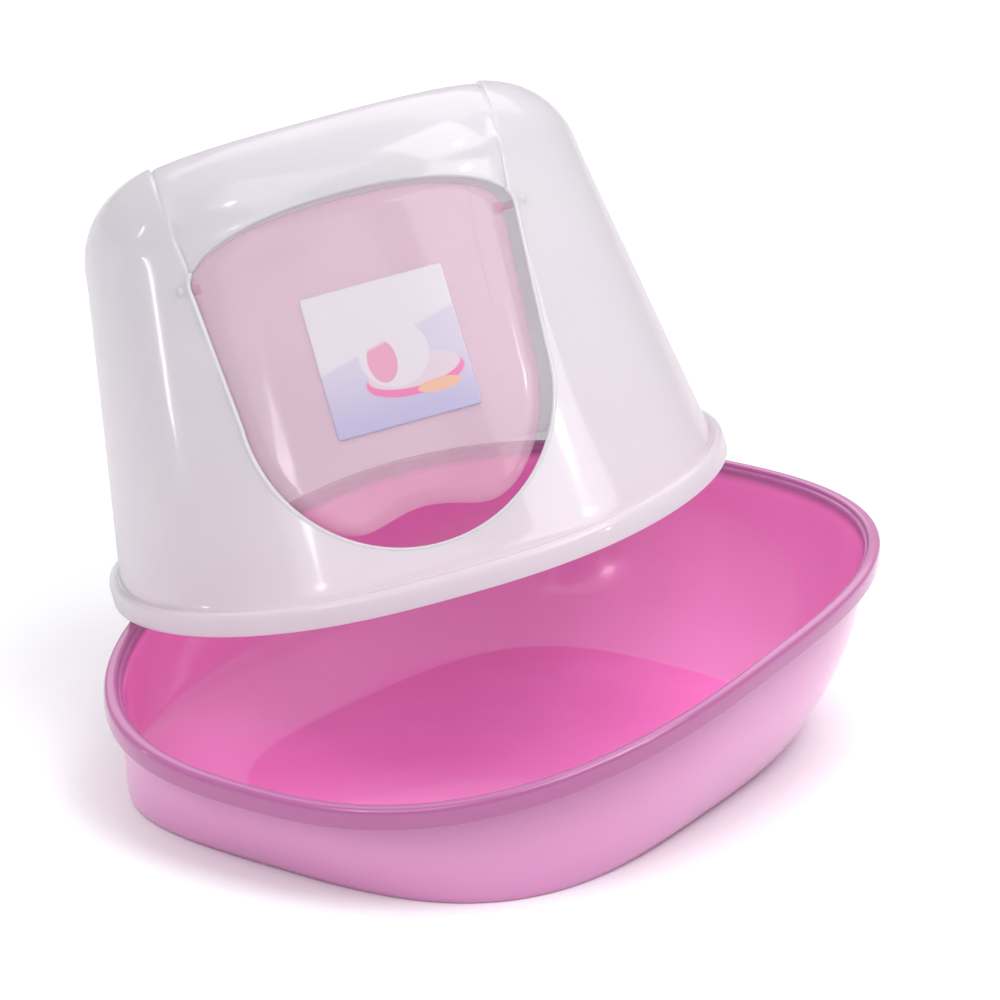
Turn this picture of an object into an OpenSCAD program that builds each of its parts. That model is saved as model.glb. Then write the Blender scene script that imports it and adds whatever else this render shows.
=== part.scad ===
// Cat litter box with hood: a pink tray, a white hood lifted off and laid across it,
// and a see-through door flap that swings on two pins.
// Tray frame: origin on the floor under the rim's centre, entrance end towards -Y, +Z up.

/* [Tray] */
// Length of the tray over its rim
tray_length = 445; // [430:1:450]
// Width of the tray over its rim
tray_width = 355; // [345:1:360]
// Height of the rim halfway along each side
rim_height = 94; // [88:1:98]
// Rise of the rim towards the back, per millimetre of length
rim_rise = 0.136; // [0.10:0.002:0.16]
// Depth by which the rim curves down at its two ends
rim_sag = 13.9; // [8:0.2:18]
// Width of the rolled rim's flat top
rim_band = 6.8; // [5:0.1:8]
// Depth of the rolled rim's outer lip
rim_lip = 10.5; // [8:0.5:14]
// Thickness of the tray's wall
tray_wall = 2.4; // [2:0.1:3]
// Length of the base on the floor
base_length = 363; // [350:1:368]
// Width of the base on the floor
base_width = 284; // [270:1:288]
// Length of the flat floor inside
floor_length = 306; // [290:1:310]
// Width of the flat floor inside
floor_width = 210; // [195:1:218]

/* [Hood] */
// Length of the hood over its skirt
hood_length = 442; // [438:1:445]
// Width of the hood over its skirt
hood_width = 352; // [348:1:355]
// Height of the hood's roof above the floor when it is seated on the tray
hood_height = 321; // [314:1:326]
// Thickness of the hood's wall
hood_wall = 2.2; // [2:0.1:3]
// Height of the flared skirt
skirt_height = 16; // [14:0.5:20]
// Distance that the skirt stands out from the wall
skirt_flare = 5; // [4:0.25:6]
// Radius of the shoulder between walls and roof
shoulder = 49; // [40:1:54]
// Lean of the side walls, in degrees
side_lean = 8.9; // [7:0.5:11]
// Lean of the front wall, in degrees
front_lean = 20; // [16:0.5:22]
// Lean of the rear wall, in degrees
rear_lean = 12.2; // [10:0.2:14]
// Width of the sunk band over the middle of the hood
band_width = 186; // [180:1:196]
// Depth of the sunk band
band_depth = 1.6; // [1:0.1:2]

/* [Door] */
// Width of the door opening level with its pivots
door_width = 179; // [170:1:180]
// Width of the door opening where its round lower part begins
door_waist = 165; // [155:1:166]
// Depth of the round lower part
door_round = 84; // [80:0.5:85]
// Height of the crown above the pivots
door_crown = 29; // [24:0.5:30]
// Thickness of the flap
flap_wall = 1.6; // [1.2:0.1:1.8]
// Gap left between flap and opening on each side, on average
flap_gap = 4.2; // [4.2:0.1:5]
// Distance that the flap has slid to the hood's lower side
flap_slide = 3; // [2.5:0.1:3]
// Diameter of the pivot pins
pin_diameter = 4; // [3:0.5:4.5]
// Side of the square card label
label_size = 77; // [60:1:80]

/* [Hidden] */
// Points round each closed section, and round a pin or socket
segments = 96;
pin_segments = 48;

// How the lifted hood lies across the tray: its turn, tip and roll in degrees, the place of its
// turning point over the tray, and that point in the hood itself
hood_turn = 39.7;
hood_tip = -17.9;
hood_roll = -14.2;
hood_place = [-102.7, 59.1, 105.7];
hood_pivot = [0, 0, 100];

// Sections: [length, width, roundness, middle y, taper towards the back]
rim_outline = [tray_length, tray_width, 2.52, 0, 0];
base_outline = [base_length, base_width, 3.2, -18, -0.1];
floor_outline = [floor_length, floor_width, 3.05, 6, 0];
skirt_outline = [hood_length, hood_width, 2.38, 0, 0];
wall_roundness = 2.65;

// Tray: thickness of its floor, inset of the floor's inner ring, level at which the fillet starts and
// how straight the fillet runs, width of the foot, swell of the wall, and the wall's top under the rim
floor_level = 3;
floor_ring = 60;
fillet_start = 0.26;
fillet_blend = 0.8;
foot_width = 3;
wall_bulge = 1.2;
wall_top_inset = rim_band + 1.2;
wall_top_drop = 4;

// Hood: heights at which the front and rear walls stand at its full length, height of the side
// walls' foot, overlap of wall and skirt, thickness of the skirt, and rise of the roof's middle
front_level = 50;
rear_level = 110;
side_level = 4;
skirt_overlap = 4;
skirt_wall = 1.8;
roof_crown = 4.2;
wall_rings = 7;
shoulder_rings = 7;
roof_rings = 4;
// Width over which the band sinks in, the height where it starts and the height over which it deepens,
// and how far inside the door's edge it ends at the pivots
band_step = 8;
band_low = 180;
band_fade = 50;
band_tuck = 2.5;

// Door, in the hood's frame: height and depth of the pivots, height of the round part's centre,
// the lower edge's height, wave and reach, and the smaller gaps at crown and round part
pivot_z = 241;
pivot_y = -120.5;
round_z = 162;
wave_top = 99;
wave_depth = 7.5;
wave_reach = 40;
crown_gap = 3.2;
round_gap = 2.2;
crown_power = 0.9;

// Pins and sockets: how far they reach from the middle, the running gap round a pin, and their sizes
pin_reach = 94;
pin_play = 0.06;
ear_length = 5;
ear_radius = 3.2;
ear_web = [3, 7.5, 5];
socket_inner = 90;
socket_end = 1;
socket_radius = 3.4;

// Curved sheet from which flap and card are cut: half width, lowest and highest edge, columns and rows
sheet = [92, 76, 272, 24, 16];
flap_inset = 0.5;
label_x = 5.5;
label_z = 181;
label_wall = 0.5;

// --- Outlines and sections ---

function mix(a, b, t) = a + (b - a) * t;
function spread(value, power) = sign(value) * pow(abs(value), power);
function ring_angle(i) = 360 * i / segments;

// Height of the tray's rim at a distance y along the tray
function rim_z(y) = rim_height + rim_rise * y - rim_sag * pow(2 * y / tray_length, 2);

// A point on a rounded outline, moved in by inset
function outline_point(outline, angle, inset = 0) =
    let(
        along = spread(sin(angle), 2 / outline[2]),
        across = spread(cos(angle), 2 / outline[2])
    )
    [
        (outline[1] / 2 - inset) * across * (1 + outline[4] * along),
        (outline[0] / 2 - inset) * along + outline[3]
    ];

// A level ring of an outline
function flat_ring(outline, z, inset = 0) = [
    for (i = [0:segments - 1])
        let(p = outline_point(outline, ring_angle(i), inset)) [p[0], p[1], z]
];

// A ring that follows the rim's curve, lowered by drop
function rim_ring(outline, inset, drop) = [
    for (i = [0:segments - 1])
        let(p = outline_point(outline, ring_angle(i), inset)) [p[0], p[1], rim_z(p[1]) - drop]
];

// A closed skin over rings that share their number of points, with a point at each end
module skin(start, rings, end) {
    count = len(rings);
    points = concat([start], [for (ring = rings) each ring], [end]);
    last = len(points) - 1;
    faces = concat(
        [for (i = [0:segments - 1]) [0, 1 + i, 1 + (i + 1) % segments]],
        [
            for (r = [0:count - 2], i = [0:segments - 1])
                let(
                    a = 1 + r * segments + i,
                    b = 1 + r * segments + (i + 1) % segments
                )
                each [[a, a + segments, b + segments], [a, b + segments, b]]
        ],
        [
            for (i = [0:segments - 1])
                [last, 1 + (count - 1) * segments + (i + 1) % segments, 1 + (count - 1) * segments + i]
        ]
    );
    polyhedron(points, faces);
}

// --- Tray ---

// A point on the tray's outer wall: level 0 is the base and level 1 the rim
function tray_point(i, level, inset) =
    let(
        low = outline_point(base_outline, ring_angle(i), inset),
        high = outline_point(rim_outline, ring_angle(i), inset + wall_top_inset),
        top_z = rim_z(high[1]) - wall_top_drop,
        reach = level + wall_bulge * level * (1 - level)
    )
    [mix(low[0], high[0], reach), mix(low[1], high[1], reach), top_z * level];

function tray_ring(level, inset, lift = 0) = [
    for (i = [0:segments - 1]) tray_point(i, level, inset) + [0, 0, lift]
];

// The inner fillet, from the wall at turn 0 to the flat floor's edge at turn 1
function fillet_ring(turn, lift = 0) = [
    for (i = [0:segments - 1])
        let(
            high = tray_point(i, fillet_start, tray_wall),
            low = outline_point(floor_outline, ring_angle(i)),
            inward = mix(1 - cos(90 * turn), turn, fillet_blend),
            down = mix(sin(90 * turn), turn, fillet_blend)
        )
        [
            mix(high[0], low[0], inward),
            mix(high[1], low[1], inward),
            mix(high[2], floor_level, down) + lift
        ]
];

module tray() {
    // The hollow under the fillet: each step is [turn, extra drop]
    hollow = [for (step = [[0.8, 0.6], [0.6, 0.9], [0.4, 1.5]]) fillet_ring(step[0], -tray_wall - step[1])];
    // The foot on which the tray stands: each step is [height, inset]
    foot = [
        for (step = [[0, foot_width + 2], [0, 1.5], [1.5, 0.3]])
            flat_ring(base_outline, step[0], step[1])
    ];
    underside = concat([flat_ring(floor_outline, 0, floor_ring), flat_ring(floor_outline, 0)], hollow, foot);
    outer_wall = [for (level = [0.05, 0.12, 0.22, 0.35, 0.5, 0.65, 0.8, 0.92]) tray_ring(level, 0)];
    // The rolled rim: each step is [inset, drop]
    rolled_rim = [
        for (step = [
            [wall_top_inset, wall_top_drop - 0.6],
            [2, 2.4],
            [2, rim_lip - 0.6],
            [1, rim_lip],
            [0.1, rim_lip - 0.7],
            [0, 2.4],
            [0.6, 0.8],
            [2, 0],
            [rim_band - 2, 0],
            [rim_band - 0.6, 0.7],
            [rim_band, 2.2],
            [rim_band + 3, 2.6]
        ]) rim_ring(rim_outline, step[0], step[1])
    ];
    inner_wall = [for (level = [0.93, 0.8, 0.65, 0.5, 0.38, fillet_start]) tray_ring(level, tray_wall)];
    fillet = [for (turn = [0.2, 0.4, 0.6, 0.8, 1]) fillet_ring(turn)];
    floor_rings = [flat_ring(floor_outline, floor_level, floor_ring)];
    color("hotpink")
        skin(
            [0, floor_outline[3], 0],
            concat(underside, outer_wall, rolled_rim, inner_wall, fillet, floor_rings),
            [0, floor_outline[3], floor_level]
        );
}

// --- Hood, in its own seated frame ---

// Distance from the middle to the side, front and rear walls at a height
wall_side = hood_width / 2 - skirt_flare;
wall_end = hood_length / 2 - skirt_flare;
function side_x(z, edge_z) = wall_side - (z - edge_z - side_level) * tan(side_lean);
function front_y(z) = -wall_end + (z - front_level) * tan(front_lean);
function rear_y(z) = wall_end - (z - rear_level) * tan(rear_lean);

// Depth below the plain form of a point in the sunk band, which runs from the pivots over the hood
function clamped(t) = max(0, min(1, t));
function band_half(z) = mix(door_width / 2 - band_tuck, band_width / 2, clamped((z - pivot_z) / band_fade));
function band_sink(x, z) =
    band_depth * clamped((z - band_low) / band_fade) * clamped((band_half(z) - abs(x)) / band_step + 0.5);

// A point of the hood's wall at a share of its height, moved in by inset
shoulder_z = hood_height - roof_crown - shoulder;
function edge_z(i) = rim_z(spread(sin(ring_angle(i)), 2 / wall_roundness) * wall_end);
function wall_point(i, share, inset) =
    let(
        angle = ring_angle(i),
        z = mix(edge_z(i) + skirt_height - skirt_overlap, shoulder_z, share),
        x = (side_x(z, edge_z(i)) - inset) * spread(cos(angle), 2 / wall_roundness),
        sink = inset + band_sink(x, z),
        front = front_y(z) + sink,
        rear = rear_y(z) - sink
    )
    [x, mix(front, rear, 0.5) + spread(sin(angle), 2 / wall_roundness) * (rear - front) / 2, z];

roof_y = mix(front_y(shoulder_z), rear_y(shoulder_z), 0.5);

// A point of the rounded shoulder, from 0 at the wall to 90 at the roof
function shoulder_point(i, turn, inset) =
    let(
        edge = wall_point(i, 1, inset),
        radius = shoulder - inset,
        arm = [edge[0], edge[1] - roof_y],
        keep = 1 - radius * (1 - cos(turn)) / norm(arm)
    )
    [
        arm[0] * keep,
        roof_y + arm[1] * keep,
        shoulder_z + (radius - band_sink(arm[0] * keep, shoulder_z + shoulder)) * sin(turn)
    ];

// A point of the crowned roof, from 1 at its edge to 0 in the middle
function roof_point(i, reach, inset) =
    let(
        edge = shoulder_point(i, 90, inset),
        x = edge[0] * reach,
        crown = roof_crown * (1 - reach * reach)
    )
    [
        x,
        mix(roof_y, edge[1], reach),
        shoulder_z + shoulder - inset + crown - band_sink(x, shoulder_z + shoulder)
    ];

// Rings up one side of the hood's shell, from above the skirt to the roof
function shell_rings(inset) = concat(
    [for (k = [0:wall_rings]) [for (i = [0:segments - 1]) wall_point(i, k / wall_rings, inset)]],
    [
        for (k = [1:shoulder_rings])
            [for (i = [0:segments - 1]) shoulder_point(i, 90 * k / shoulder_rings, inset)]
    ],
    [for (k = [1:roof_rings - 1]) [for (i = [0:segments - 1]) roof_point(i, 1 - k / roof_rings, inset)]]
);

function reversed(list) = [for (k = [len(list) - 1:-1:0]) list[k]];

module closed_shell() {
    // Each step is [inset, height over the skirt's edge]
    skirt = [
        for (step = [
            [skirt_flare + 1.2, skirt_height - 6],
            [skirt_wall + 0.6, skirt_height - 6.6],
            [skirt_wall + 0.1, 1],
            [skirt_wall - 0.6, 0],
            [0.5, 0],
            [0, 0.8],
            [0, skirt_height - 6.5],
            [0.8, skirt_height - 4.5],
            [2.6, skirt_height - 3.5]
        ]) rim_ring(skirt_outline, step[0], -step[1])
    ];
    skin(
        [0, roof_y, hood_height - hood_wall - band_depth],
        concat(reversed(shell_rings(hood_wall)), skirt, shell_rings(0)),
        [0, roof_y, hood_height - band_depth]
    );
}

// Right half of a door-shaped outline, from its lowest point to its highest
function door_half(half_low, half_top, depth, crown) = concat(
    [for (a = [-90:6:-6]) [half_low * cos(a), round_z + depth * sin(a)]],
    [[half_low, round_z], [half_top, pivot_z]],
    [
        for (a = [8:8:90])
            [half_top * pow(cos(a), crown_power), pivot_z + crown * pow(sin(a), crown_power)]
    ]
);

module door_outline(half_low, half_top, depth, crown) {
    half = door_half(half_low, half_top, depth, crown);
    polygon(concat(half, [for (k = [len(half) - 2:-1:1]) [-half[k][0], half[k][1]]]));
}

module through_front() {
    rotate([90, 0, 0])
        linear_extrude(height = hood_length / 2 + 40)
            children();
}

// A round rod about its own middle
module rod(length, radius) {
    cylinder(h = length, r = radius, center = true, $fn = pin_segments);
}

module hood_form() {
    difference() {
        closed_shell();
        through_front()
            door_outline(door_waist / 2, door_width / 2, door_round, door_crown);
        translate([0, pivot_y, pivot_z])
            rotate([0, 90, 0])
                rod(2 * (pin_reach + socket_end) + 0.1, socket_radius);
    }
}

// Lays a piece of the hood where the lifted hood rests across the tray
module lay_hood() {
    translate(hood_place)
        rotate([0, 0, hood_turn])
            rotate([hood_tip, 0, 0])
                rotate([0, hood_roll, 0])
                    translate(-hood_pivot)
                        children();
}

module hood_shell() {
    color("white")
        lay_hood()
            hood_form();
}

module pivot_socket(side) {
    length = pin_reach + socket_end - socket_inner;
    color("white")
        lay_hood()
            translate([side * (socket_inner + length / 2), pivot_y, pivot_z])
                rotate([0, 90, 0])
                    difference() {
                        rod(length, socket_radius);
                        rod(length + 2, pin_diameter / 2 + pin_play);
                    }
}

module pivot_socket_left() pivot_socket(-1);
module pivot_socket_right() pivot_socket(1);

// --- Flap ---

// Front face of the hood at a place across and up, found in a few rounds
function face_y_once(x, z, inset, y) =
    let(
        front = front_y(z) + inset,
        rear = rear_y(z) - inset,
        share = min(1, abs(x) / (side_x(z, rim_z(y)) - inset))
    )
    mix(front, rear, 0.5) - (rear - front) / 2 * pow(1 - pow(share, wall_roundness), 1 / wall_roundness);
function face_y(x, z, inset, y = -190, rounds = 4) =
    rounds == 0 ? y : face_y(x, z, inset, face_y_once(x, z, inset, y), rounds - 1);

// A curved sheet behind the hood's front face, over a range of heights
module face_sheet(inset, thickness) {
    columns = sheet[3];
    rows = sheet[4];
    width = columns + 1;
    face_points = [
        for (depth = [inset, inset + thickness], r = [0:rows], k = [0:columns])
            let(
                x = mix(-sheet[0], sheet[0], k / columns),
                z = mix(sheet[1], sheet[2], r / rows)
            )
            [x, face_y(x, z, 0) + band_depth + depth, z]
    ];
    back = width * (rows + 1);
    faces = concat(
        [
            for (r = [0:rows - 1], k = [0:columns - 1])
                let(a = r * width + k)
                each [
                    [a, a + width, a + 1],
                    [a + 1, a + width, a + width + 1],
                    [back + a, back + a + 1, back + a + width],
                    [back + a + 1, back + a + width + 1, back + a + width]
                ]
        ],
        [
            for (k = [0:columns - 1])
                let(t = rows * width + k)
                each [
                    [k, k + 1, back + k + 1], [k, back + k + 1, back + k],
                    [t + 1, t, back + t], [t + 1, back + t, back + t + 1]
                ]
        ],
        [
            for (r = [0:rows - 1])
                let(a = r * width, b = r * width + columns)
                each [
                    [a + width, a, back + a], [a + width, back + a, back + a + width],
                    [b, b + width, back + b + width], [b, back + b + width, back + b]
                ]
        ]
    );
    polyhedron(face_points, faces);
}

// The flap's lower edge rises in the middle between two lobes
function wave_z(x) = wave_top - wave_depth / 2 * (1 - cos(180 * min(1, abs(x) / wave_reach)));

module flap_outline() {
    intersection() {
        door_outline(
            door_waist / 2 - flap_gap, door_width / 2 - flap_gap,
            door_round - round_gap, door_crown - crown_gap
        );
        polygon(concat(
            [for (x = [-door_width / 2:door_width / 40:door_width / 2]) [x, wave_z(x)]],
            [[door_width / 2, hood_height], [-door_width / 2, hood_height]]
        ));
    }
}

module flap_ear(side) {
    start = door_width / 2 - flap_gap - ear_length;
    translate([side * (start + ear_length / 2), pivot_y, pivot_z])
        rotate([0, 90, 0])
            rod(ear_length, ear_radius);
    translate([side * (start + ear_length / 2), pivot_y - ear_web[1] / 2, pivot_z])
        cube(ear_web, center = true);
}

module door_flap() {
    color([0.95, 0.80, 0.88, 0.6])
        lay_hood()
            translate([-flap_slide, 0, 0]) {
                intersection() {
                    face_sheet(flap_inset, flap_wall);
                    through_front() flap_outline();
                }
                for (side = [-1, 1])
                    flap_ear(side);
            }
}

// The pins reach from the flap's ears into the hood's sockets
module pivot_pin(side) {
    start = door_width / 2 - flap_gap - side * flap_slide;
    color([0.95, 0.80, 0.88])
        lay_hood()
            translate([side * (start + pin_reach) / 2, pivot_y, pivot_z])
                rotate([0, 90, 0])
                    rod(pin_reach - start, pin_diameter / 2);
}

module pivot_pin_left() pivot_pin(-1);
module pivot_pin_right() pivot_pin(1);

module card_label() {
    color("lavender")
        lay_hood()
            translate([-flap_slide, 0, 0])
                intersection() {
                    face_sheet(flap_inset - label_wall, label_wall);
                    through_front()
                        translate([label_x, label_z])
                            square(label_size, center = true);
                }
}

tray();
hood_shell();
pivot_socket_left();
pivot_socket_right();
door_flap();
pivot_pin_left();
pivot_pin_right();
card_label();
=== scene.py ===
import math

import bmesh
import bpy
from mathutils import Matrix, Vector


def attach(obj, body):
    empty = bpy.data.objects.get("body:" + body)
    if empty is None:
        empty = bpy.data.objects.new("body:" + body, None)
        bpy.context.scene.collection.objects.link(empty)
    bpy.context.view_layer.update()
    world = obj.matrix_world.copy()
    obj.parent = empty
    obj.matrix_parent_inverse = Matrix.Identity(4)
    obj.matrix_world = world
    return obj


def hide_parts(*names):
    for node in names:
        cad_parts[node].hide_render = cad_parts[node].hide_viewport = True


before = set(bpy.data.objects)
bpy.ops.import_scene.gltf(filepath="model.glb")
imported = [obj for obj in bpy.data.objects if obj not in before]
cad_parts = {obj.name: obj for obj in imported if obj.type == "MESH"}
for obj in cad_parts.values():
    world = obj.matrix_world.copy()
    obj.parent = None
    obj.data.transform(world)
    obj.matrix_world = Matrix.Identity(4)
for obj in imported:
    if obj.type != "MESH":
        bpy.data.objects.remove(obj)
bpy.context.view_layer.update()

# Shapes are worked out in millimetres and degrees, as the CAD part is, and made in metres.
MM = 0.001


def sin(degrees):
    return math.sin(math.radians(degrees))


def cos(degrees):
    return math.cos(math.radians(degrees))


def tan(degrees):
    return math.tan(math.radians(degrees))


def mix(a, b, t):
    return a + (b - a) * t


def spread(value, power):
    return math.copysign(abs(value) ** power, value)


def smooth(t):
    t = max(0.0, min(1.0, t))
    return t * t * (3 - 2 * t)


# --- Sizes, as in the CAD part ---

TRAY_LENGTH, TRAY_WIDTH = 445, 355
RIM_HEIGHT, RIM_RISE, RIM_SAG = 94, 0.136, 13.9
RIM_BAND, RIM_LIP = 6.8, 10.5
TRAY_WALL, WALL_BULGE, FLOOR_LEVEL = 2.4, 1.2, 3
FILLET_START, FILLET_BLEND, FLOOR_RING = 0.26, 0.8, 60
WALL_TOP_INSET, WALL_TOP_DROP = RIM_BAND + 1.2, 4

# Sections: length, width, roundness, middle y, taper towards the back
RIM_OUTLINE = (TRAY_LENGTH, TRAY_WIDTH, 2.52, 0, 0)
BASE_OUTLINE = (363, 284, 3.2, -18, -0.1)
FLOOR_OUTLINE = (306, 210, 3.05, 6, 0)
SKIRT_OUTLINE = (442, 352, 2.38, 0, 0)

HOOD_HEIGHT, HOOD_WALL, SKIRT_HEIGHT, SKIRT_FLARE, SKIRT_WALL = 321, 2.2, 16, 5, 1.8
SHOULDER, ROOF_CROWN, WALL_ROUND = 49, 4.2, 2.65
SIDE_LEAN, FRONT_LEAN, REAR_LEAN = 8.9, 20, 12.2
FRONT_LEVEL, REAR_LEVEL, SIDE_LEVEL, SKIRT_OVERLAP = 50, 110, 4, 4
BAND_HALF, BAND_DEPTH, BAND_STEP, BAND_LOW, BAND_FADE = 93, 1.6, 1.8, 180, 50

DOOR_WIDTH, DOOR_WAIST, DOOR_ROUND, DOOR_CROWN, CROWN_POWER = 179, 165, 84, 29, 0.9
FLAP_GAP, CROWN_GAP, ROUND_GAP, FLAP_SLIDE, FLAP_WALL, FLAP_INSET = 4.2, 3.2, 2.2, 3, 1.6, 0.5
PIVOT_Y, PIVOT_Z, ROUND_Z = -120.5, 241, 162
WAVE_TOP, WAVE_DEPTH, WAVE_REACH = 99, 7.5, 40
EAR_LENGTH, EAR_RADIUS, EAR_WEB = 5, 3.2, (3, 7.5, 5)
LABEL_SIZE, LABEL_X, LABEL_Z = 77, 5.5, 181

HOOD_TURN, HOOD_TIP, HOOD_ROLL = 39.7, -17.9, -14.2
HOOD_PLACE, HOOD_PIVOT = (-102.7, 59.1, 105.7), (0, 0, 100)
HOOD_MATRIX = (
    Matrix.Translation(Vector(HOOD_PLACE) * MM)
    @ Matrix.Rotation(math.radians(HOOD_TURN), 4, "Z")
    @ Matrix.Rotation(math.radians(HOOD_TIP), 4, "X")
    @ Matrix.Rotation(math.radians(HOOD_ROLL), 4, "Y")
    @ Matrix.Translation(Vector(HOOD_PIVOT) * -MM)
)


def rim_z(y):
    """Height of the tray's rim at a distance y along the tray."""
    return RIM_HEIGHT + RIM_RISE * y - RIM_SAG * (2 * y / TRAY_LENGTH) ** 2


def outline_point(outline, angle, inset=0):
    length, width, roundness, middle, taper = outline
    along = spread(sin(angle), 2 / roundness)
    across = spread(cos(angle), 2 / roundness)
    return (width / 2 - inset) * across * (1 + taper * along), (length / 2 - inset) * along + middle


# --- Mesh making ---


def make_piece(name, points, faces, matrix=None, smooth_levels=0, sharp_angle=None, painted_light_tones=None):
    """A mesh object from points in millimetres, with its faces turned outwards."""
    mesh = bpy.data.meshes.new(name)
    mesh.from_pydata([Vector(p) * MM for p in points], [], faces)
    # Tones are kept as a point attribute; on the tray they carry painted light and shade.
    if painted_light_tones:
        mesh.attributes.new("tone", "FLOAT", "POINT").data.foreach_set("value", painted_light_tones)
    shape = bmesh.new()
    shape.from_mesh(mesh)
    bmesh.ops.remove_doubles(shape, verts=shape.verts, dist=1e-7)
    bmesh.ops.recalc_face_normals(shape, faces=shape.faces)
    shape.to_mesh(mesh)
    shape.free()
    mesh.shade_smooth()
    if sharp_angle:
        mesh.set_sharp_from_angle(angle=math.radians(sharp_angle))
    piece = bpy.data.objects.new(name, mesh)
    bpy.context.scene.collection.objects.link(piece)
    if matrix:
        mesh.transform(matrix)
    if smooth_levels:
        modifier = piece.modifiers.new("smooth", "SUBSURF")
        modifier.levels = smooth_levels
        modifier.render_levels = smooth_levels
    return piece


def ring_faces(first, second, count):
    """Quads between two rings that start at those point numbers."""
    return [
        (first + i, first + (i + 1) % count, second + (i + 1) % count, second + i) for i in range(count)
    ]


def loft(rings, start=None, end=None):
    """Points and faces of a skin over rings, closed by a point at each end where one is given."""
    count = len(rings[0])
    points = [p for ring in rings for p in ring]
    faces = []
    for r in range(len(rings) - 1):
        faces += ring_faces(r * count, (r + 1) * count, count)
    for tip, base in ((start, 0), (end, (len(rings) - 1) * count)):
        if tip is not None:
            points.append(tip)
            faces += [(len(points) - 1, base + i, base + (i + 1) % count) for i in range(count)]
    return points, faces


def join(*parts):
    """One list of points and faces from several."""
    points, faces = [], []
    for some_points, some_faces in parts:
        faces += [tuple(k + len(points) for k in face) for face in some_faces]
        points += some_points
    return points, faces


# --- Tray ---

TRAY_SEGMENTS = 128

# Tones of the tray's plastic, which paint light and shade into its colour: 0 on the floor, 1 on the outer wall
# with a painted sheen, and these for painted light on the inner wall, painted shade on the rim and the painted
# shade that darkens the outer wall towards the rim
WALL_PAINTED_LIGHT, RIM_PAINTED_SHADE, OUTER_PAINTED_SHEEN, UNDER_RIM_PAINTED_SHADE = 0.2, 0.5, 1.0, 0.28


def ring_angles():
    return [360 * i / TRAY_SEGMENTS for i in range(TRAY_SEGMENTS)]


def flat_ring(outline, z, inset=0):
    return [(*outline_point(outline, a, inset), z) for a in ring_angles()]


def rim_ring(outline, inset, drop):
    ring = []
    for a in ring_angles():
        x, y = outline_point(outline, a, inset)
        ring.append((x, y, rim_z(y) - drop))
    return ring


def tray_point(angle, level, inset):
    """A point of the tray's wall, from level 0 at the base to 1 at the rim."""
    low = outline_point(BASE_OUTLINE, angle, inset)
    high = outline_point(RIM_OUTLINE, angle, inset + WALL_TOP_INSET)
    reach = level + WALL_BULGE * level * (1 - level)
    top_z = rim_z(high[1]) - WALL_TOP_DROP
    return mix(low[0], high[0], reach), mix(low[1], high[1], reach), top_z * level


def tray_ring(level, inset):
    return [tray_point(a, level, inset) for a in ring_angles()]


def fillet_ring(turn, lift=0):
    """A ring of the inner fillet, from the wall at turn 0 to the floor's edge at turn 1."""
    ring = []
    for a in ring_angles():
        high = tray_point(a, FILLET_START, TRAY_WALL)
        low = outline_point(FLOOR_OUTLINE, a)
        inward = mix(1 - cos(90 * turn), turn, FILLET_BLEND)
        down = mix(sin(90 * turn), turn, FILLET_BLEND)
        z = mix(high[2], FLOOR_LEVEL, down) + lift
        ring.append((mix(high[0], low[0], inward), mix(high[1], low[1], inward), z))
    return ring


def make_tray():
    hollow = [(0.8, 0.6), (0.6, 0.9), (0.4, 1.5)]
    foot = [(0, 5), (0, 1.5), (0.4, 0.6), (1.5, 0.3)]
    rolled_rim = [
        (WALL_TOP_INSET, WALL_TOP_DROP - 0.6), (2.2, 2.4), (2, 3), (2, RIM_LIP - 1), (1.7, RIM_LIP - 0.2),
        (1, RIM_LIP), (0.3, RIM_LIP - 0.2), (0, RIM_LIP - 1), (0, 3), (0.4, 1), (1.6, 0.1), (3, 0),
        (RIM_BAND - 2.4, 0), (RIM_BAND - 1, 0.2), (RIM_BAND - 0.2, 1), (RIM_BAND, 2), (RIM_BAND + 0.5, 2.7),
        (RIM_BAND + 2, 3.2),
    ]
    rings = [flat_ring(FLOOR_OUTLINE, 0, FLOOR_RING), flat_ring(FLOOR_OUTLINE, 0)]
    rings += [fillet_ring(turn, -TRAY_WALL - drop) for turn, drop in hollow]
    rings += [flat_ring(BASE_OUTLINE, z, inset) for z, inset in foot]
    rings += [tray_ring(level, 0) for level in (0.05, 0.12, 0.22, 0.35, 0.5, 0.65, 0.8, 0.92)]
    rings += [rim_ring(RIM_OUTLINE, inset, drop) for inset, drop in rolled_rim]
    rings += [tray_ring(level, TRAY_WALL) for level in (0.93, 0.8, 0.65, 0.5, 0.38, FILLET_START)]
    rings += [fillet_ring(turn) for turn in (0.2, 0.4, 0.6, 0.8, 0.95, 1)]
    rings += [flat_ring(FLOOR_OUTLINE, FLOOR_LEVEL, inset) for inset in (1.5, 20, FLOOR_RING)]
    middle = FLOOR_OUTLINE[3]
    points, faces = loft(rings, (0, middle, 0), (0, middle, FLOOR_LEVEL))
    outside = 2 + len(hollow) + len(foot) + 8
    painted_light_tones = []
    # The tones paint light and shade: painted shade darkens the outer wall towards the rim, the rim gets painted
    # shade, the inner wall painted light, and the floor keeps its own pink.
    for r in range(len(rings)):
        if r < outside:
            tone = OUTER_PAINTED_SHEEN - UNDER_RIM_PAINTED_SHADE * smooth((r - outside + 6) / 6)
        elif r < outside + len(rolled_rim):
            tone = RIM_PAINTED_SHADE
        else:
            tone = WALL_PAINTED_LIGHT if r < len(rings) - 3 else 0.0
        painted_light_tones += [tone] * TRAY_SEGMENTS
    painted_light_tones += [1.0, 0.0]
    return make_piece("tray_moulding", points, faces, smooth_levels=2, painted_light_tones=painted_light_tones)


# --- Hood, in its own seated frame ---

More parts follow.
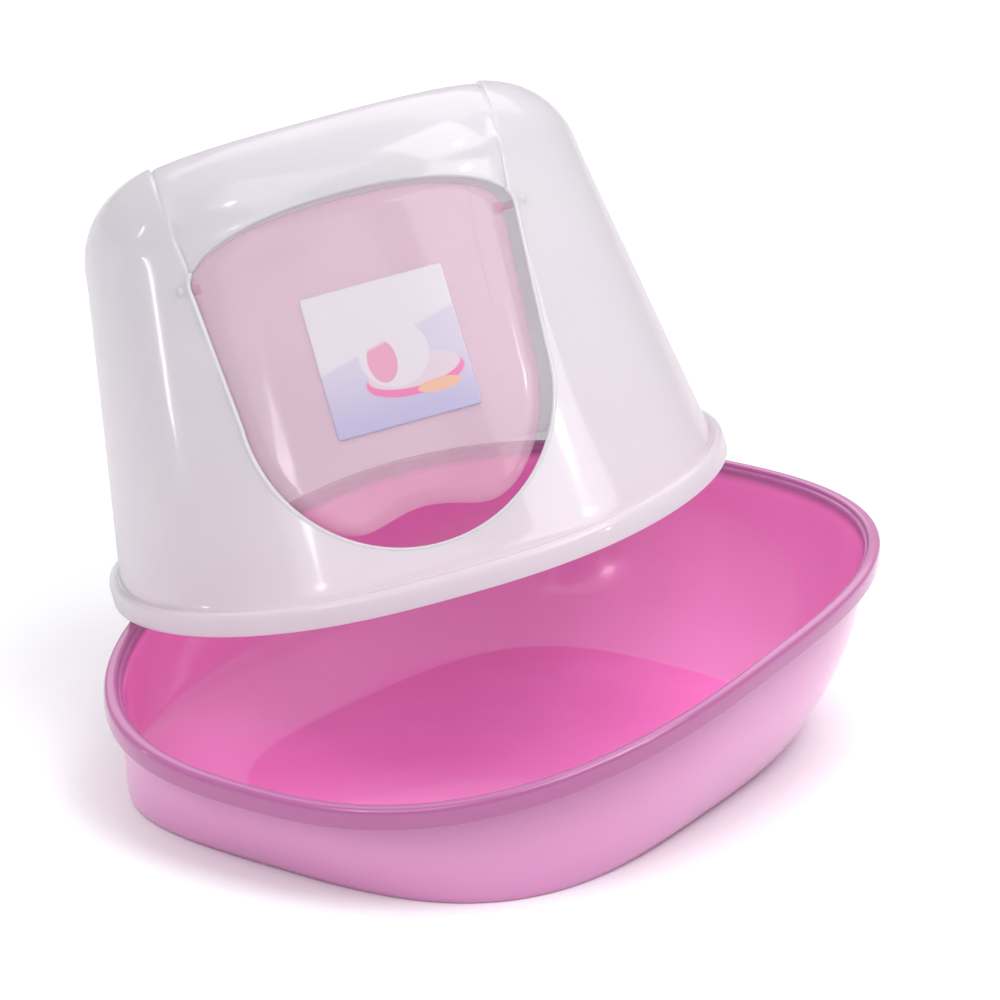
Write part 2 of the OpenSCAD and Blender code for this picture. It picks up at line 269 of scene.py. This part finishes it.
WALL_SIDE = SKIRT_OUTLINE[1] / 2 - SKIRT_FLARE
WALL_END = SKIRT_OUTLINE[0] / 2 - SKIRT_FLARE
SHOULDER_Z = HOOD_HEIGHT - ROOF_CROWN - SHOULDER


def side_x(z, edge_z):
    return WALL_SIDE - (z - edge_z - SIDE_LEVEL) * tan(SIDE_LEAN)


def front_y(z):
    return -WALL_END + (z - FRONT_LEVEL) * tan(FRONT_LEAN)


def rear_y(z):
    return WALL_END - (z - REAR_LEVEL) * tan(REAR_LEAN)


ROOF_Y = mix(front_y(SHOULDER_Z), rear_y(SHOULDER_Z), 0.5)


def band_edge(z):
    """Half width of the sunk band, which narrows to the door's width at the pivots."""
    return mix(DOOR_WIDTH / 2 - 2.5, BAND_HALF, smooth((z - PIVOT_Z) / BAND_FADE))


# A fine groove runs along the foot of the band's step.
GROOVE_DEPTH, GROOVE_HALF = 1.1, 1.1


def band_sink(x, z):
    fade = smooth((z - BAND_LOW) / BAND_FADE)
    inside = band_edge(z) - abs(x)
    step = BAND_DEPTH * smooth(inside / BAND_STEP + 0.5)
    groove = GROOVE_DEPTH * smooth(1 - abs(inside - GROOVE_HALF) / GROOVE_HALF)
    return fade * (step + groove)


def wall_point(angle, sx, sy, share, inset):
    """A point of the hood's wall. The angle is 0 at the side and 90 in the middle of front or rear."""
    along = sy * sin(angle) ** (2 / WALL_ROUND)
    edge = rim_z(along * WALL_END)
    z = mix(edge + SKIRT_HEIGHT - SKIRT_OVERLAP, SHOULDER_Z, share)
    x = sx * (side_x(z, edge) - inset) * max(0, cos(angle)) ** (2 / WALL_ROUND)
    sink = inset + band_sink(x, z)
    front, rear = front_y(z) + sink, rear_y(z) - sink
    return x, mix(front, rear, 0.5) + along * (rear - front) / 2, z


def shoulder_point(angle, sx, sy, turn, inset):
    """A point of the rounded shoulder, from 0 at the wall to 90 at the roof."""
    x, y, _ = wall_point(angle, sx, sy, 1, inset)
    radius = SHOULDER - inset
    keep = 1 - radius * (1 - cos(turn)) / math.hypot(x, y - ROOF_Y)
    x *= keep
    sunk = band_sink(x, SHOULDER_Z + SHOULDER) * sin(turn)
    return x, ROOF_Y + (y - ROOF_Y) * keep, SHOULDER_Z + radius * sin(turn) - sunk


SIDE_COLUMNS, STEP_COLUMNS, BAND_COLUMNS = 16, 7, 16
QUARTER = SIDE_COLUMNS + STEP_COLUMNS + BAND_COLUMNS


def angle_where(x_of, wanted):
    """The angle at which a ring's half width has shrunk to the wanted one."""
    low, high = 0.0, 90.0
    for _ in range(30):
        middle = (low + high) / 2
        if x_of(middle) > wanted:
            low = middle
        else:
            high = middle
    return low


def hood_ring(point):
    """A ring of the hood whose columns follow the edges of the sunk band."""
    ring = []
    for sx, sy in ((-1, -1), (1, -1), (1, 1), (-1, 1)):
        edge = band_edge(point(80, sx, sy)[2])
        stops = [0]
        for wanted in (edge + BAND_STEP / 2, edge - 2 * GROOVE_HALF - 0.2):
            stops.append(angle_where(lambda a: abs(point(a, sx, sy)[0]), wanted))
        stops.append(90)
        angles = []
        for k, columns in enumerate((SIDE_COLUMNS, STEP_COLUMNS, BAND_COLUMNS)):
            angles += [mix(stops[k], stops[k + 1], i / columns) for i in range(columns)]
        angles.append(90)
        if sx != sy:
            angles.reverse()
        ring += [point(a, sx, sy) for a in angles[:-1]]
    return ring


def skirt_ring(wall_ring_points, inset, height):
    """A ring of the flared skirt, in the directions of the wall's lowest ring."""
    ring = []
    for x, y, _ in wall_ring_points:
        across, along = abs(x) / WALL_SIDE, abs(y) / WALL_END
        angle = math.degrees(math.atan2(along ** (WALL_ROUND / 2), across ** (WALL_ROUND / 2)))
        px, py = outline_point(SKIRT_OUTLINE, angle, inset)
        ring.append((math.copysign(px, x), math.copysign(py, y), rim_z(math.copysign(py, y)) + height))
    return ring


WALL_RINGS, SHOULDER_RINGS, ROOF_ROWS = 20, 14, 20


def shell_rings(inset):
    rings = []
    for k in range(WALL_RINGS + 1):
        rings.append(hood_ring(lambda a, sx, sy: wall_point(a, sx, sy, k / WALL_RINGS, inset)))
    for k in range(1, SHOULDER_RINGS + 1):
        rings.append(hood_ring(lambda a, sx, sy: shoulder_point(a, sx, sy, 90 * k / SHOULDER_RINGS, inset)))
    return rings


def roof_patch(ring, inset):
    """The crowned roof: rows of points between the front and the rear half of the shoulder's last ring."""
    side = abs(ring[0][0])
    half_length = abs(ring[QUARTER][1] - ROOF_Y)

    def reach(x, y):
        return ((abs(x) / side) ** WALL_ROUND + (abs(y - ROOF_Y) / half_length) ** WALL_ROUND) ** (
            1 / WALL_ROUND
        )

    points, faces = list(ring), []
    columns = 2 * QUARTER
    row_start = {0: None}
    index = {}
    for j in range(columns + 1):
        index[j, 0] = j
        index[j, ROOF_ROWS] = (4 * QUARTER - j) % (4 * QUARTER)
    for j in range(1, columns):
        x, front, _ = ring[j]
        rear = ring[4 * QUARTER - j][1]
        edge_reach = reach(x, front)
        for r in range(1, ROOF_ROWS):
            y = mix(front, rear, (1 - cos(180 * r / ROOF_ROWS)) / 2)
            inside = max(0, 1 - (reach(x, y) / edge_reach) ** 2)
            z = SHOULDER_Z + SHOULDER - inset + ROOF_CROWN * inside**1.5
            index[j, r] = len(points)
            points.append((x, y, z - band_sink(x, SHOULDER_Z + SHOULDER)))
    for j in range(columns):
        for r in range(ROOF_ROWS):
            corners = [
                index.get((j + dj, r + dr), index[j + dj, 0]) if 0 < j + dj < columns else index[j + dj, 0]
                for dj, dr in ((0, 0), (1, 0), (1, 1), (0, 1))
            ]
            face = []
            for corner in corners:
                if corner not in face:
                    face.append(corner)
            if len(face) > 2:
                faces.append(tuple(face))
    return points, faces


def make_hood():
    outer = shell_rings(0)
    inner = shell_rings(HOOD_WALL)
    skirt_steps = [
        (SKIRT_WALL + 1.2, SKIRT_HEIGHT - 6.3), (SKIRT_WALL + 0.3, SKIRT_HEIGHT - 7.4),
        (SKIRT_WALL + 0.1, 1.2), (SKIRT_WALL - 0.2, 0.2), (SKIRT_WALL - 0.7, 0), (0.6, 0), (0.1, 0.3),
        (0, 1.2), (0, SKIRT_HEIGHT - 7.5), (0.3, SKIRT_HEIGHT - 5.8), (1.1, SKIRT_HEIGHT - 4.6),
        (2.4, SKIRT_HEIGHT - 3.9), (4.4, SKIRT_HEIGHT - 3.7),
    ]
    skirt = [skirt_ring(outer[0], inset, height) for inset, height in skirt_steps]
    skirt.insert(0, skirt_ring(outer[0], SKIRT_FLARE + 1.6, SKIRT_HEIGHT - 6))
    walls = loft(inner[::-1] + skirt + outer)
    shell = join(walls, roof_patch(outer[-1], 0), roof_patch(inner[-1], HOOD_WALL))
    hood = make_piece("hood_uncut", *shell, matrix=HOOD_MATRIX, smooth_levels=1)
    cutter = make_cutter()
    cut = hood.modifiers.new("door", "BOOLEAN")
    cut.operation = "DIFFERENCE"
    cut.solver = "EXACT"
    cut.object = cutter
    bpy.context.view_layer.update()
    graph = bpy.context.evaluated_depsgraph_get()
    mesh = bpy.data.meshes.new_from_object(hood.evaluated_get(graph), depsgraph=graph)
    for used in (hood, cutter):
        bpy.data.objects.remove(used)
    lip_points, lip_faces = door_lip()
    lip = make_piece("lip", lip_points, lip_faces, matrix=HOOD_MATRIX)
    shape = bmesh.new()
    shape.from_mesh(mesh)
    shape.from_mesh(lip.data)
    shape.to_mesh(mesh)
    shape.free()
    bpy.data.objects.remove(lip)
    mesh.shade_smooth()
    mesh.set_sharp_from_angle(angle=math.radians(40))
    piece = bpy.data.objects.new("hood_moulding", mesh)
    bpy.context.scene.collection.objects.link(piece)
    return piece


# --- Door opening and flap ---


def face_y(x, z):
    """The plain front face of the hood at a place across and up."""
    y = -190.0
    front, rear = front_y(z), rear_y(z)
    for _ in range(6):
        share = min(1, abs(x) / side_x(z, rim_z(y)))
        y = mix(front, rear, 0.5) - (rear - front) / 2 * (1 - share**WALL_ROUND) ** (1 / WALL_ROUND)
    return y


def door_ring(inset=0.0, gaps=(0, 0, 0), wave=False, fine=1):
    """The door's outline, from its lowest point round by the right side, moved in by inset."""
    side, crown_gap, round_gap = gaps
    half_low = DOOR_WAIST / 2 - side - inset
    half_top = DOOR_WIDTH / 2 - side - inset
    depth = DOOR_ROUND - round_gap - inset
    crown = DOOR_CROWN - crown_gap - inset
    right = []
    for i in range(24 * fine + 1):
        a = -90 + 90 * i / (24 * fine)
        right.append((half_low * cos(a), ROUND_Z + depth * sin(a)))
    for i in range(1, 10 * fine):
        t = i / (10 * fine)
        right.append((mix(half_low, half_top, t), mix(ROUND_Z, PIVOT_Z, t)))
    for i in range(28 * fine + 1):
        a = 90 * (i / (28 * fine)) ** 1.3
        right.append((half_top * max(0, cos(a)) ** CROWN_POWER, PIVOT_Z + crown * sin(a) ** CROWN_POWER))
    if wave:
        right = [(x, soft_above(z, wave_z(x) + inset)) for x, z in right]
    return right + [(-x, z) for x, z in right[-2:0:-1]]


def wave_z(x):
    """The flap's lower edge, which rises in the middle between two lobes."""
    return WAVE_TOP - WAVE_DEPTH / 2 * (1 - cos(180 * min(1, abs(x) / WAVE_REACH)))


def soft_above(a, b, softness=9):
    """The greater of two heights, rounded where they meet."""
    blend = max(0, softness - abs(a - b)) / softness
    return max(a, b) + blend * blend * softness / 4


def make_cutter():
    """A long prism with the door's outline."""
    outline = door_ring(fine=3)
    count = len(outline)
    points = [(x, y, z) for y in (-300, -20) for x, z in outline]
    faces = ring_faces(0, count, count)
    faces += [tuple(range(count)), tuple(range(2 * count - 1, count - 1, -1))]
    return make_piece("cutter", points, faces, matrix=HOOD_MATRIX)


LIP_RADIUS = 1.3
LIP_SIDES = 12


def door_lip():
    """A rounded bead along the edge of the door opening."""
    outline = door_ring(fine=3)
    middle = [
        Vector((x, face_y(x, z) + band_sink(x, z) + HOOD_WALL / 2, z)) for x, z in outline
    ]
    count = len(middle)
    rings = []
    for i, point in enumerate(middle):
        tangent = (middle[(i + 1) % count] - middle[i - 1]).normalized()
        outward = Vector((0, -1, 0))
        outward = (outward - tangent * outward.dot(tangent)).normalized()
        across = tangent.cross(outward)
        ring = []
        for k in range(LIP_SIDES):
            a = 360 * k / LIP_SIDES
            ring.append(point + (outward * cos(a) + across * sin(a)) * LIP_RADIUS)
        rings.append(tuple(tuple(p) for p in ring))
    points, faces = loft(rings)
    faces += [
        ((count - 1) * LIP_SIDES + k, (count - 1) * LIP_SIDES + (k + 1) % LIP_SIDES, (k + 1) % LIP_SIDES, k)
        for k in range(LIP_SIDES)
    ]
    return points, faces


FOLD_WIDTH, FOLD_DROP = 9.0, 3.2
FLAP_GAPS = (FLAP_GAP, CROWN_GAP, ROUND_GAP)
FLAP_CENTRE = (0, 185)


def fold(inset):
    """How far the flap's border curves back at a distance from its edge."""
    t = 1 - min(1, inset / FOLD_WIDTH)
    return FOLD_DROP * (1 - math.sqrt(max(0, 1 - t * t)))


def flap_point(x, z, inset, depth):
    return x - FLAP_SLIDE, face_y(x, z) + BAND_DEPTH + FLAP_INSET + fold(inset) + depth, z


def flap_rings(depth, insets):
    rings = []
    for inset in insets:
        rings.append([flap_point(x, z, inset, depth) for x, z in door_ring(inset, FLAP_GAPS, wave=True)])
    inner = door_ring(FOLD_WIDTH, FLAP_GAPS, wave=True)
    cx, cz = FLAP_CENTRE
    for k in range(1, 14):
        share = 1 - k / 14
        rings.append(
            [flap_point(mix(cx, x, share), mix(cz, z, share), FOLD_WIDTH, depth) for x, z in inner]
        )
    return rings


def rod(start, end, radius, sides=24):
    """A round rod with softened ends."""
    axis = (end - start).normalized()
    across = axis.orthogonal().normalized()
    up = axis.cross(across)
    length = (end - start).length
    soft = min(0.4, length / 4)
    rings = []
    for along, size in ((0, radius - soft), (soft, radius), (length - soft, radius), (length, radius - soft)):
        middle = start + axis * along
        rings.append(
            [
                tuple(middle + (across * cos(360 * k / sides) + up * sin(360 * k / sides)) * size)
                for k in range(sides)
            ]
        )
    return loft(rings, tuple(start), tuple(end))


def ear(side):
    """The flap's ear, which holds its pivot pin, and the web that joins it to the flap."""
    outer = DOOR_WIDTH / 2 - FLAP_GAP
    start = Vector((side * (outer - EAR_LENGTH) - FLAP_SLIDE, PIVOT_Y, PIVOT_Z))
    end = Vector((side * outer - FLAP_SLIDE, PIVOT_Y, PIVOT_Z))
    middle = (start + end) / 2
    web_start = middle + Vector((0, -EAR_WEB[1], 0))
    return join(rod(start, end, EAR_RADIUS), rod(web_start, middle, EAR_WEB[2] / 2))


def make_flap():
    insets = (0, 0.12, 0.4, 0.9, 1.6, 2.6, 3.8, 5.2, 6.8, 8.4, FOLD_WIDTH)
    front = flap_rings(0, insets)
    back = flap_rings(FLAP_WALL, (0.4, 0.9, 1.6, 2.6, 3.8, 5.2, 6.8, 8.4, FOLD_WIDTH))
    edge = [flap_point(x, z, 0, FLAP_WALL / 2) for x, z in door_ring(0, FLAP_GAPS, wave=True)]
    cx, cz = FLAP_CENTRE
    tip_front = flap_point(cx, cz, FOLD_WIDTH, 0)
    tip_back = flap_point(cx, cz, FOLD_WIDTH, FLAP_WALL)
    sheet = loft(front[::-1] + [edge] + back, tip_front, tip_back)
    points, faces = join(sheet, ear(-1), ear(1))
    piece = make_piece("flap_moulding", points, faces, matrix=HOOD_MATRIX, smooth_levels=1)
    return piece


CARD_LIFT, CARD_WALL, CARD_CORNER = 0.1, 0.35, 2.0


def card_ring(inset, depth):
    """A ring of the card, a square with rounded corners."""
    half = LABEL_SIZE / 2 - inset
    corner = max(0.4, CARD_CORNER - inset)
    ring = []
    for quarter, (sx, sz) in enumerate(((1, 1), (-1, 1), (-1, -1), (1, -1))):
        cx, cz = sx * (half - corner), sz * (half - corner)
        for k in range(7):
            a = 90 * quarter + 15 * k
            ring.append((cx + corner * cos(a), cz + corner * sin(a)))
        nx, nz = ((0, 1), (-1, 0), (0, -1), (1, 0))[quarter]
        for k in range(1, 16):
            t = k / 16
            start = (cx + corner * (0, -1, 0, 1)[quarter], cz + corner * (1, 0, -1, 0)[quarter])
            run = 2 * (half - corner)
            ring.append((start[0] + (-1, 0, 1, 0)[quarter] * run * t, start[1] + (0, -1, 0, 1)[quarter] * run * t))
    return [
        (x + LABEL_X - FLAP_SLIDE, face_y(x + LABEL_X, z + LABEL_Z) + depth, z + LABEL_Z) for x, z in ring
    ]


def make_card():
    front = BAND_DEPTH + FLAP_INSET - CARD_LIFT - CARD_WALL
    rings = [card_ring(inset, front) for inset in (30, 20, 10, 4, 1, 0.2)]
    rings.append(card_ring(0, front + CARD_WALL / 2))
    rings += [card_ring(inset, front + CARD_WALL) for inset in (0.2, 1, 4, 10, 20, 30)]
    middle_x, middle_z = LABEL_X - FLAP_SLIDE, LABEL_Z
    tip_y = face_y(LABEL_X, LABEL_Z)
    points, faces = loft(
        rings, (middle_x, tip_y + front, middle_z), (middle_x, tip_y + front + CARD_WALL, middle_z)
    )
    piece = make_piece("card_print", points, faces, matrix=HOOD_MATRIX)
    layout = piece.data.uv_layers.new(name="card")
    back_to_hood = HOOD_MATRIX.inverted()
    for corner, loop in zip(layout.data, piece.data.loops):
        place = back_to_hood @ piece.data.vertices[loop.vertex_index].co
        across = place.x / MM - (LABEL_X - FLAP_SLIDE)
        corner.uv = (across / LABEL_SIZE + 0.5, (place.z / MM - LABEL_Z) / LABEL_SIZE + 0.5)
    return piece


# --- Materials ---


def colour(red, green, blue, alpha=1.0):
    """A colour given as it looks on screen, from 0 to 255."""
    def linear(value):
        value /= 255
        return value / 12.92 if value <= 0.04045 else ((value + 0.055) / 1.055) ** 2.4
    return linear(red), linear(green), linear(blue), alpha


class Nodes:
    """Short calls for building one material's nodes."""

    def __init__(self, name):
        self.material = bpy.data.materials.new(name)
        self.material.use_nodes = True
        self.tree = self.material.node_tree
        self.shader = self.tree.nodes["Principled BSDF"]
        self.output = self.tree.nodes["Material Output"]

    def add(self, kind, **inputs):
        node = self.tree.nodes.new(kind)
        for name, value in inputs.items():
            self.feed(node.inputs[name.replace("_", " ")], value)
        return node

    def feed(self, socket, value):
        if isinstance(value, bpy.types.NodeSocket):
            self.tree.links.new(value, socket)
        else:
            socket.default_value = value

    def math(self, operation, a, b=0.0, clamp=False):
        node = self.tree.nodes.new("ShaderNodeMath")
        node.operation = operation
        node.use_clamp = clamp
        self.feed(node.inputs[0], a)
        self.feed(node.inputs[1], b)
        return node.outputs[0]

    def blend(self, factor, a, b):
        node = self.tree.nodes.new("ShaderNodeMix")
        node.data_type = "RGBA"
        self.feed(node.inputs[0], factor)
        self.feed(node.inputs[6], a)
        self.feed(node.inputs[7], b)
        return node.outputs[2]

    def ranged(self, value, low, high, new_low=0.0, new_high=1.0):
        node = self.tree.nodes.new("ShaderNodeMapRange")
        node.interpolation_type = "SMOOTHSTEP"
        for k, given in enumerate((value, low, high, new_low, new_high)):
            self.feed(node.inputs[k], given)
        return node.outputs[0]

    def place(self):
        return self.tree.nodes.new("ShaderNodeTexCoord").outputs["Object"]

    def noise(self, scale, detail=3.0, roughness=0.5):
        node = self.add("ShaderNodeTexNoise", Vector=self.place(), Scale=scale, Detail=detail)
        node.inputs["Roughness"].default_value = roughness
        return node.outputs["Fac"]

    def bump(self, height, distance, strength=1.0, normal=None):
        node = self.add("ShaderNodeBump", Height=height, Distance=distance, Strength=strength)
        if normal is not None:
            self.feed(node.inputs["Normal"], normal)
        return node.outputs[0]


def moulded_plastic(name, main, other, gloss, coat):
    """Glossy moulded plastic: a slight drift of colour, faint flow marks and a very fine skin."""
    nodes = Nodes(name)
    drift = nodes.noise(9, 2)
    nodes.plastic_colour = nodes.blend(nodes.ranged(drift, 0.35, 0.65), main, other)
    nodes.feed(nodes.shader.inputs["Base Color"], nodes.plastic_colour)
    haze = nodes.noise(38, 4, 0.6)
    nodes.feed(nodes.shader.inputs["Roughness"], nodes.ranged(haze, 0.3, 0.7, gloss, gloss + 0.05))
    flow = nodes.bump(nodes.noise(7, 1), 0.0005, 0.3)
    skin = nodes.bump(nodes.noise(1400, 2), 0.00002, 0.25, flow)
    nodes.feed(nodes.shader.inputs["Normal"], skin)
    nodes.shader.inputs["IOR"].default_value = 1.5
    nodes.shader.inputs["Coat Weight"].default_value = coat
    nodes.shader.inputs["Coat Roughness"].default_value = 0.04
    return nodes


def tray_material():
    """Pink plastic, deepest on the floor, with light and shade painted in: painted light makes the inner wall
    lighter, painted shade makes the rolled rim mauve, and a painted sheen makes the outer wall pale lilac.
    """
    nodes = moulded_plastic("pink_plastic", colour(248, 130, 204), colour(246, 123, 199), 0.14, 0.35)
    tone = nodes.tree.nodes.new("ShaderNodeAttribute")
    tone.attribute_name = "tone"
    painted_light_amount = tone.outputs["Fac"]
    # Painted light: the inner wall and fillet are made lighter than the floor.
    wall = nodes.blend(nodes.ranged(painted_light_amount, 0.02, 0.18), nodes.plastic_colour, colour(250, 146, 212))
    # Painted shade: the rolled rim is darkened to mauve.
    rim = nodes.blend(nodes.ranged(painted_light_amount, 0.25, 0.5), wall, colour(170, 90, 146))
    # Painted sheen: the outer wall is paled to lilac, and darkened just under the rim with painted shade.
    skin = nodes.blend(nodes.ranged(painted_light_amount, 0.5, 1.0), rim, colour(214, 142, 192))
    nodes.feed(nodes.shader.inputs["Base Color"], skin)
    return nodes.material


def hood_material():
    """White plastic, thin enough to let some light through its wall."""
    nodes = moulded_plastic("white_plastic", colour(232, 230, 234), colour(229, 227, 232), 0.12, 0.5)
    through = nodes.add("ShaderNodeBsdfTranslucent", Color=colour(240, 242, 242))
    wall = nodes.add("ShaderNodeMixShader", Fac=0.5)
    nodes.tree.links.new(nodes.shader.outputs[0], wall.inputs[1])
    nodes.tree.links.new(through.outputs[0], wall.inputs[2])
    nodes.tree.links.new(wall.outputs[0], nodes.output.inputs[0])
    return nodes.material


def flap_material():
    """Milky see-through plastic, its density drifting slightly at random."""
    nodes = moulded_plastic("clear_plastic", colour(240, 218, 229), colour(237, 214, 226), 0.1, 0.4)
    clear = nodes.add("ShaderNodeBsdfTransparent", Color=colour(248, 235, 242))
    body = nodes.ranged(nodes.noise(22, 2), 0.3, 0.7, 0.21, 0.24)
    glass = nodes.add("ShaderNodeMixShader", Fac=body)
    nodes.tree.links.new(clear.outputs[0], glass.inputs[1])
    nodes.tree.links.new(nodes.shader.outputs[0], glass.inputs[2])
    nodes.tree.links.new(glass.outputs[0], nodes.output.inputs[0])
    return nodes.material


def card_material():
    """A printed card: white above, and below it a lilac panel with a few plain rounded shapes."""
    nodes = Nodes("printed_card")
    layout = nodes.tree.nodes.new("ShaderNodeUVMap")
    layout.uv_map = "card"
    place = nodes.tree.nodes.new("ShaderNodeSeparateXYZ")
    nodes.feed(place.inputs[0], layout.outputs[0])
    across = nodes.math("SUBTRACT", place.outputs[0], 0.5)
    up = nodes.math("SUBTRACT", place.outputs[1], 0.5)

    def blob(x, z, width, height, soft=0.06):
        dx = nodes.math("DIVIDE", nodes.math("SUBTRACT", across, x), width)
        dz = nodes.math("DIVIDE", nodes.math("SUBTRACT", up, z), height)
        square = nodes.math("ADD", nodes.math("MULTIPLY", dx, dx), nodes.math("MULTIPLY", dz, dz))
        return nodes.ranged(square, 1 - soft, 1 + soft, 1.0, 0.0)

    paper = nodes.blend(nodes.noise(300, 3), colour(200, 192, 200), colour(196, 188, 197))
    lilac = nodes.blend(nodes.ranged(up, -0.5, 0.0), colour(166, 158, 190), colour(186, 176, 194))
    panel = nodes.ranged(nodes.math("SUBTRACT", up, nodes.math("MULTIPLY", across, 0.25)), 0.1, 0.06)
    picture = nodes.blend(blob(0.12, -0.2, 0.34, 0.13), lilac, colour(205, 110, 155))
    picture = nodes.blend(blob(0.12, -0.165, 0.32, 0.11), picture, colour(196, 178, 190))
    picture = nodes.blend(blob(0.02, -0.02, 0.24, 0.23), picture, colour(198, 189, 199))
    picture = nodes.blend(blob(-0.07, -0.05, 0.1, 0.15), picture, colour(200, 140, 165))
    picture = nodes.blend(blob(0.26, -0.3, 0.15, 0.045), picture, colour(206, 160, 140))
    design = nodes.blend(panel, paper, picture)
    nodes.feed(nodes.shader.inputs["Base Color"], design)
    nodes.feed(nodes.shader.inputs["Normal"], nodes.bump(nodes.noise(900, 3), 0.00002, 0.4))
    nodes.feed(nodes.shader.inputs["Roughness"], nodes.ranged(nodes.noise(60), 0.3, 0.7, 0.34, 0.42))
    return nodes.material


def floor_material():
    nodes = Nodes("pale_floor")
    tone = nodes.blend(nodes.noise(3, 2), colour(253, 253, 253), colour(251, 251, 252))
    nodes.feed(nodes.shader.inputs["Base Color"], tone)
    nodes.shader.inputs["Roughness"].default_value = 0.7
    nodes.shader.inputs["Specular IOR Level"].default_value = 0.2
    return nodes.material


def dress(piece, material, body, node):
    """Gives a piece its material and says which body and CAD node it stands for."""
    piece.data.materials.clear()
    piece.data.materials.append(material)
    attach(piece, body)
    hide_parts(node)


white = hood_material()
clear = flap_material()
dress(make_tray(), tray_material(), "tray", "tray")
dress(make_hood(), white, "hood", "hood_shell")
dress(make_flap(), clear, "flap", "door_flap")
dress(make_card(), card_material(), "flap", "card_label")
for side_name in ("left", "right"):
    for node_name, material in (("pivot_socket_", white), ("pivot_pin_", clear)):
        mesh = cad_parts[node_name + side_name].data
        mesh.materials.clear()
        mesh.materials.append(material)

# --- Floor, light and camera ---

FLOOR_SIZE = 16.0


def make_floor():
    half = FLOOR_SIZE / 2 / MM
    points = [(x, y, 0) for y in (-half, half) for x in (-half, half)]
    piece = make_piece("studio_floor", points, [(0, 1, 3, 2)])
    piece.data.materials.append(floor_material())


AIM = Vector((-0.06, 0.03, 0.13))


def direction(azimuth, elevation):
    """Towards the viewer, from azimuth 0 in front of the tray round to its right."""
    return Vector((sin(azimuth) * cos(elevation), -cos(azimuth) * cos(elevation), sin(elevation)))


def make_light(name, azimuth, elevation, distance, width, height, power, aim=AIM):
    data = bpy.data.lights.new(name, "AREA")
    data.shape = "RECTANGLE"
    data.size, data.size_y = width, height
    data.energy = power
    light = bpy.data.objects.new(name, data)
    bpy.context.scene.collection.objects.link(light)
    light.location = aim + direction(azimuth, elevation) * distance
    light.rotation_euler = (aim - light.location).to_track_quat("-Z", "Y").to_euler()


# The room is brightest behind the object and dimmer behind the viewer.
ROOM_BRIGHT, ROOM_DIM = 0.78, 0.52


def make_world():
    world = bpy.data.worlds.new("studio")
    world.use_nodes = True
    tree = world.node_tree
    background = tree.nodes["Background"]
    background.inputs["Color"].default_value = colour(254, 254, 255)
    looking = tree.nodes.new("ShaderNodeTexCoord")
    away = tree.nodes.new("ShaderNodeVectorMath")
    away.operation = "DOT_PRODUCT"
    away.inputs[1].default_value = -direction(CAMERA_AZIMUTH, 0)
    tree.links.new(looking.outputs["Generated"], away.inputs[0])
    room = tree.nodes.new("ShaderNodeMapRange")
    room.interpolation_type = "SMOOTHSTEP"
    for k, given in enumerate((None, -0.9, 0.5, ROOM_DIM, ROOM_BRIGHT)):
        if given is not None:
            room.inputs[k].default_value = given
    tree.links.new(away.outputs["Value"], room.inputs[0])
    tree.links.new(room.outputs[0], background.inputs["Strength"])
    bpy.context.scene.world = world


CAMERA_DISTANCE, CAMERA_AZIMUTH, CAMERA_ELEVATION, CAMERA_DIP = 2.089, 35.81, 21.486, 17.762


def make_camera():
    data = bpy.data.cameras.new("camera")
    data.sensor_width = 36
    data.lens = 137.84
    camera = bpy.data.objects.new("camera", data)
    bpy.context.scene.collection.objects.link(camera)
    camera.location = direction(CAMERA_AZIMUTH, CAMERA_ELEVATION) * CAMERA_DISTANCE
    facing = -direction(CAMERA_AZIMUTH, CAMERA_DIP)
    camera.rotation_euler = facing.to_track_quat("-Z", "Y").to_euler()
    bpy.context.scene.camera = camera


make_floor()
make_world()
make_camera()
BACKDROP = Vector((-1.75, 2.4, 0))
make_light("key", 95, 64, 2.0, 1.3, 1.3, 22)
make_light("fill", 0, 50, 2.2, 1.5, 1.2, 11)
make_light("backdrop", 0, 90, 2.4, 4.0, 3.5, 52, BACKDROP)
make_light("strip_left", -61, 9, 2.0, 0.06, 0.25, 0.8)
make_light("square_high", 100, 55, 1.8, 0.12, 0.12, 1.2)
make_light("square_low", 99, 27, 1.8, 0.12, 0.12, 1.2)
make_light("flap_light", -10, 40, 1.9, 0.14, 0.14, 0.9)
bpy.context.scene.view_settings.view_transform = "Standard"
